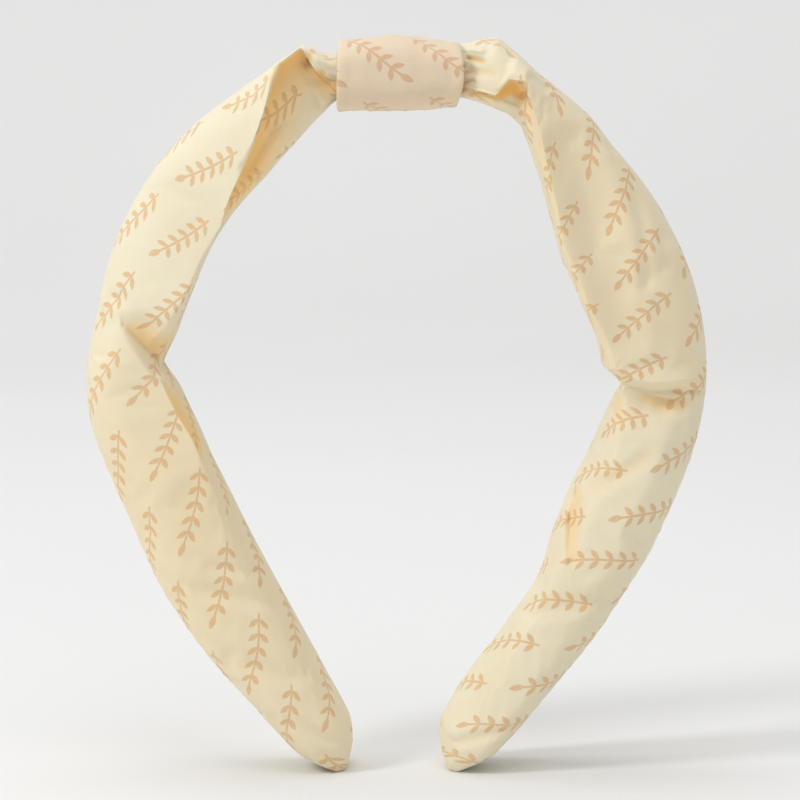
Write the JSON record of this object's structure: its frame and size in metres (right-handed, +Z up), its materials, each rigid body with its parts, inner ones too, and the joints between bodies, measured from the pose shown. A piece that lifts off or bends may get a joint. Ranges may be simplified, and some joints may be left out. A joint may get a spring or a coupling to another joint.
{
  "type": "knotted headband",
  "caption": "Sprung cloth-covered hoop worn over the head, gathered at the crown under a short cloth wrap.",
  "frame": {"origin": "on the surface the headband stands on, midway between its sides, below the crown", "axes": "+X from the left leg to the right leg as seen from the front, +Y from the front to the back, +Z up through the crown"},
  "size_m": [0.1357, 0.034, 0.1606],
  "materials": {
    "printed_cloth": "pale butter plain weave cotton with a peach leaf print",
    "wrap_cloth": "pale pinkish cream plain weave cotton with a peach leaf print",
    "wadding": "soft white wadding",
    "thread": "cream polyester sewing thread",
    "core_plastic": "white springy plastic"
  },
  "bodies": {
    "crown": {"crown_core": "core_plastic", "gathered_centre": "printed_cloth", "gather_thread": "thread", "knot_wrap": "wrap_cloth", "wrap_stitches": "thread"},
    "left_leg": {"left_core": "core_plastic", "left_padding": "wadding", "left_cover": "printed_cloth", "left_seam_stitches": "thread", "left_tip_stitches": "thread"},
    "right_leg": {"right_core": "core_plastic", "right_padding": "wadding", "right_cover": "printed_cloth", "right_seam_stitches": "thread", "right_tip_stitches": "thread"}
  },
  "joints": [
    {"name": "left_leg_flex", "type": "hinge", "parent": "crown", "child": "left_leg", "pos_m": [-0.01854, 0, 0.14994], "axis": [0, 1, 0], "range_deg": [-3, 20], "stiffness_Nm_per_rad": 0.8},
    {"name": "right_leg_flex", "type": "hinge", "parent": "crown", "child": "right_leg", "pos_m": [0.01854, 0, 0.14994], "axis": [0, -1, 0], "range_deg": [-3, 20], "stiffness_Nm_per_rad": 0.8}
  ]
}
